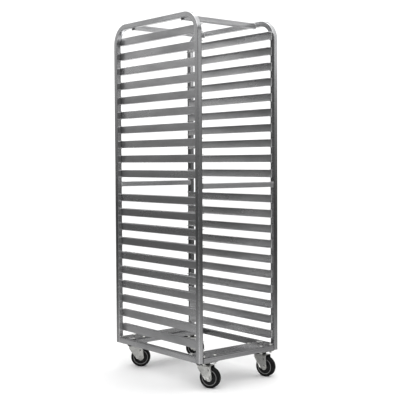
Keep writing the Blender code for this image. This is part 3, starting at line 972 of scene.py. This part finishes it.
def wheelMeshes():
    look = wheelLook
    radius, halfTread, halfWidth = look["radius"], look["halfTread"], look["halfWidth"]
    shoulder = []
    for step in range(7):
        angle = step * math.pi / 14
        shoulder.append((
            radius - 0.0062 + 0.0060 * math.cos(angle),
            halfTread + (halfWidth - halfTread) * math.sin(angle)))
    bead = look["beadRadius"]
    tyre = mirroredSection(
        [(bead, 0.0130), (bead + 0.0002, halfWidth - 0.0016), (bead + 0.0016, halfWidth - 0.0006),
         (radius - 0.0095, halfWidth)] + shoulder[::-1] + [(radius, halfTread * 0.55), (radius, 0.0008),
         (radius - 0.00025, 0.0)])
    ring = look["ringRadius"]
    lip = []
    for step in range(7):
        angle = step * math.pi / 6
        lip.append((ring + 0.0017 * math.cos(angle), halfWidth - 0.0020 + 0.0022 * math.sin(angle)))
    ringHalf = [(ring + 0.0017, 0.0105)] + lip + [(ring - 0.0017, 0.0105)]
    core = mirroredSection(
        [(bead, 0.0), (bead, 0.0128), (ring + 0.0016, 0.0132), (ring - 0.0019, 0.0132), (0.0335, 0.0112),
         (0.0300, 0.0104), (0.0225, 0.0104), (0.0190, 0.0118), (look["hubRadius"] + 0.0008, 0.0150),
         (look["hubRadius"], look["hubHalf"] - 0.0010), (look["hubRadius"] - 0.0010, look["hubHalf"]),
         (look["bore"] + 0.0045, look["hubHalf"]), (look["bore"] + 0.0040, look["hubHalf"] - 0.0012),
         (look["bore"], look["hubHalf"] - 0.0012)])
    near = turnedMesh("ring", ringHalf, 80)
    far = turnedMesh("ring", [(r, -h) for r, h in ringHalf], 80)
    return (
        crisp(turnedMesh("tyre", tyre, 80)), crisp(turnedMesh("core", core, 80)),
        crisp(joined("rings", (near, Matrix()), (far, Matrix())), 60),
    )


boltTree = fastenerTree()
addPlateBolts()
plate, race, blackRing, kingpin = plateMesh(), raceMesh(), blackRingMesh(), kingpinMesh()
crown, lowerRace = crownMesh()
fork = joined(
    "fork", (crown, Matrix()), (lowerRace, Matrix()), (legMesh(-1), Matrix()), (legMesh(1), Matrix()))
axle = axleMesh()
tyre, core, rings = wheelMeshes()
for corner in corners:
    centre = Matrix.Translation((swivelCentre[corner].x, swivelCentre[corner].y, 0))
    turned = swivelMatrix(corner)
    rolling = turned @ Matrix.Translation((trail, 0, axleZ)) @ Matrix.Rotation(math.pi / 2, 4, "X")
    swivelBody, wheelBody = "fork_" + corner, "wheel_" + corner
    addPiece("casterPlate_" + corner, placed(plate, centre), zinc, "rack", "zinc", "caster_plate_" + corner)
    addPiece("upperRace_" + corner, placed(race, centre), zinc, "rack", "zinc")
    addPiece("kingpin_" + corner, placed(kingpin, centre), zinc, "rack", "zinc")
    addPiece("dustSeal_" + corner, placed(blackRing, centre), treadRubber, "rack", "rubber")
    addPiece("fork_" + corner, placed(fork, turned), zinc, swivelBody, "zinc", "caster_fork_" + corner)
    addPiece("axleBolt_" + corner, placed(axle, turned), zinc, swivelBody, "zinc")
    wheelNode = "caster_wheel_" + corner
    addPiece("tyre_" + corner, placed(tyre, rolling), treadRubber, wheelBody, "rubber", wheelNode)
    addPiece("wheelCore_" + corner, placed(core, rolling), coreRubber, wheelBody, "rubber")
    addPiece("wheelRings_" + corner, placed(rings, rolling), ringRubber, wheelBody, "rubber")
print("casters done")

# ---- studio ----
studio = {
    "domeRadius": 8.0, "background": 1.20,
    # height on the dome and how bright it is there
    "sideTones": ((-8.0, 0.10), (-3.0, 0.35), (-1.90, 0.70), (-1.30, 0.44), (-0.93, 0.15), (-0.55, 0.07),
                  (-0.16, 0.052), (0.22, 0.052), (0.60, 0.080), (0.99, 0.16), (1.37, 0.23), (1.75, 0.30),
                  (2.13, 0.40), (2.50, 0.46), (2.80, 0.70), (3.15, 0.70), (3.50, 0.12), (5.00, 0.09),
                  (5.80, 1.70)),
    "behindTones": ((-8.0, 0.50), (1.22, 0.85), (1.46, 0.05), (5.00, 0.05), (5.80, 1.70)),
    "flankTones": ((-8.0, 0.30), (-1.6, 1.40), (-0.9, 1.00), (-0.2, 0.16), (2.2, 0.12), (5.0, 0.09),
                   (5.8, 1.70)),
    # compass angle round the dome, in degrees, and how much of that brightness there is
    "roundTones": ((-180, 1.0), (-51.5, 1.0), (-45.5, 0.60), (0, 0.60), (60, 1.0), (126.5, 0.75),
                   (129.4, 1.20), (131.5, 0.95), (134.5, 0.65), (150, 0.8)),
    "cameraSide": (-0.634, -0.773, 0),   # flat direction from the rack to the camera
    "cameraTone": 0.10,
}


def addFloor():
    material, tree, shader = newMaterial("paleFloor", (0.92, 0.92, 0.92, 1), 0.7, 0.0)
    place = addNode(tree, "ShaderNodeTexCoord").outputs["Object"]
    mottle = addNode(tree, "ShaderNodeTexNoise", {"Vector": place, "Scale": 6.0, "Detail": 3.0})
    colour = addNode(tree, "ShaderNodeMix", {
        "Factor": mottle.outputs["Fac"], 6: (0.93, 0.93, 0.93, 1), 7: (0.90, 0.90, 0.90, 1)},
        data_type="RGBA")
    tree.links.new(colour.outputs[2], shader.inputs["Base Color"])
    work = bmesh.new()
    bmesh.ops.create_grid(work, x_segments=1, y_segments=1, size=40.0)
    mesh = bpy.data.meshes.new("floor")
    work.to_mesh(mesh)
    work.free()
    mesh.materials.append(material)
    floor = bpy.data.objects.new("floor", mesh)
    scene.collection.objects.link(floor)
    floor.visible_glossy = False


def toneRamp(tree, place, reach, tones):
    # place runs from -reach to reach; tones are halved here and doubled by the dome's strength
    level = addNode(tree, "ShaderNodeMapRange", {"Value": place, "From Min": -reach, "From Max": reach})
    ramp = addNode(tree, "ShaderNodeValToRGB", {"Fac": level.outputs[0]})
    stops = ramp.color_ramp.elements
    for index, (spot, tone) in enumerate(tones):
        stop = stops[index] if index < 2 else stops.new(1.0)
        stop.position = (spot + reach) / (2 * reach)
        stop.color = (tone / 2, tone / 2, tone / 2, 1)
    return ramp.outputs[0]


def addDome():
    # a dome of light and dark that only polished metal picks up
    material = bpy.data.materials.new("studioDome")
    material.use_nodes = True
    tree = material.node_tree
    tree.nodes.clear()
    radius = studio["domeRadius"]
    place = addNode(tree, "ShaderNodeTexCoord").outputs["Object"]
    split = addNode(tree, "ShaderNodeSeparateXYZ", {"Vector": place})
    height = split.outputs["Z"]
    turn = maths(tree, "ARCTAN2", split.outputs["Y"], split.outputs["X"])
    degrees = maths(tree, "DEGREES", turn.outputs[0])
    around = addNode(tree, "ShaderNodeVectorMath", {
        0: toneRamp(tree, degrees.outputs[0], 180, studio["roundTones"]), "Scale": 2.0}, operation="SCALE")
    sides = addNode(tree, "ShaderNodeVectorMath", {
        0: toneRamp(tree, height, radius, studio["sideTones"]), 1: around.outputs[0]}, operation="MULTIPLY")
    towards = addNode(
        tree, "ShaderNodeVectorMath", {0: place, 1: studio["cameraSide"]}, operation="DOT_PRODUCT")
    behind = addNode(tree, "ShaderNodeMapRange", {
        "Value": towards.outputs["Value"], "From Min": -0.45 * radius, "From Max": -0.80 * radius})
    near = addNode(tree, "ShaderNodeMapRange", {
        "Value": towards.outputs["Value"], "From Min": 0.50 * radius, "From Max": 0.62 * radius})
    centre = addNode(tree, "ShaderNodeMapRange", {
        "Value": towards.outputs["Value"], "From Min": 0.90 * radius, "From Max": 0.96 * radius})
    dark = studio["cameraTone"] / 2
    lamps = addNode(tree, "ShaderNodeMix", {
        "Factor": centre.outputs[0], 6: toneRamp(tree, height, radius, studio["flankTones"]),
        7: (dark, dark, dark, 1)}, data_type="RGBA")
    colour = addNode(tree, "ShaderNodeMix", {
        "Factor": behind.outputs[0], 6: sides.outputs[0],
        7: toneRamp(tree, height, radius, studio["behindTones"])}, data_type="RGBA")
    lit = addNode(tree, "ShaderNodeMix", {
        "Factor": near.outputs[0], 6: colour.outputs[2], 7: lamps.outputs[2]}, data_type="RGBA")
    glow = addNode(tree, "ShaderNodeEmission", {"Color": lit.outputs[2], "Strength": 2.0})
    addNode(tree, "ShaderNodeOutputMaterial", {"Surface": glow.outputs[0]})
    work = bmesh.new()
    bmesh.ops.create_uvsphere(work, u_segments=96, v_segments=48, radius=radius)
    mesh = bpy.data.meshes.new("studioDome")
    work.to_mesh(mesh)
    work.free()
    mesh.materials.append(material)
    dome = bpy.data.objects.new("studioDome", mesh)
    scene.collection.objects.link(dome)
    dome.visible_camera = False
    dome.visible_diffuse = False
    dome.visible_shadow = False


def addSoftbox(name, place, aim, size, power):
    lamp = bpy.data.lights.new(name, "AREA")
    lamp.size = size
    lamp.energy = power
    holder = bpy.data.objects.new(name, lamp)
    holder.location = place
    holder.rotation_euler = (Vector(aim) - Vector(place)).to_track_quat("-Z", "Y").to_euler()
    scene.collection.objects.link(holder)


def addWorld():
    world = bpy.data.worlds.new("studio")
    world.use_nodes = True
    tone = studio["background"]
    world.node_tree.nodes["Background"].inputs["Color"].default_value = (tone, tone, tone, 1)
    scene.world = world


addFloor()
addDome()
addWorld()
addSoftbox("keyLight", (-2.2, -3.4, 4.2), (0, 0, 0.9), 2.0, 30)
addSoftbox("fillLight", (3.6, -2.4, 3.0), (0, 0, 0.9), 2.2, 14)
addSoftbox("topLight", (0.4, 0.6, 4.6), (0, 0, 1.0), 2.6, 40)

cameraLook = {"place": (-2.85266, -3.50604, 1.08043), "turn": (87.538, 0.269, -39.378), "lens": 79.22}
camera = bpy.data.objects.new("camera", bpy.data.cameras.new("camera"))
camera.data.lens = cameraLook["lens"]
camera.location = cameraLook["place"]
camera.rotation_euler = [math.radians(angle) for angle in cameraLook["turn"]]
scene.collection.objects.link(camera)
scene.camera = camera
scene.view_settings.view_transform = "Standard"
print("studio done")
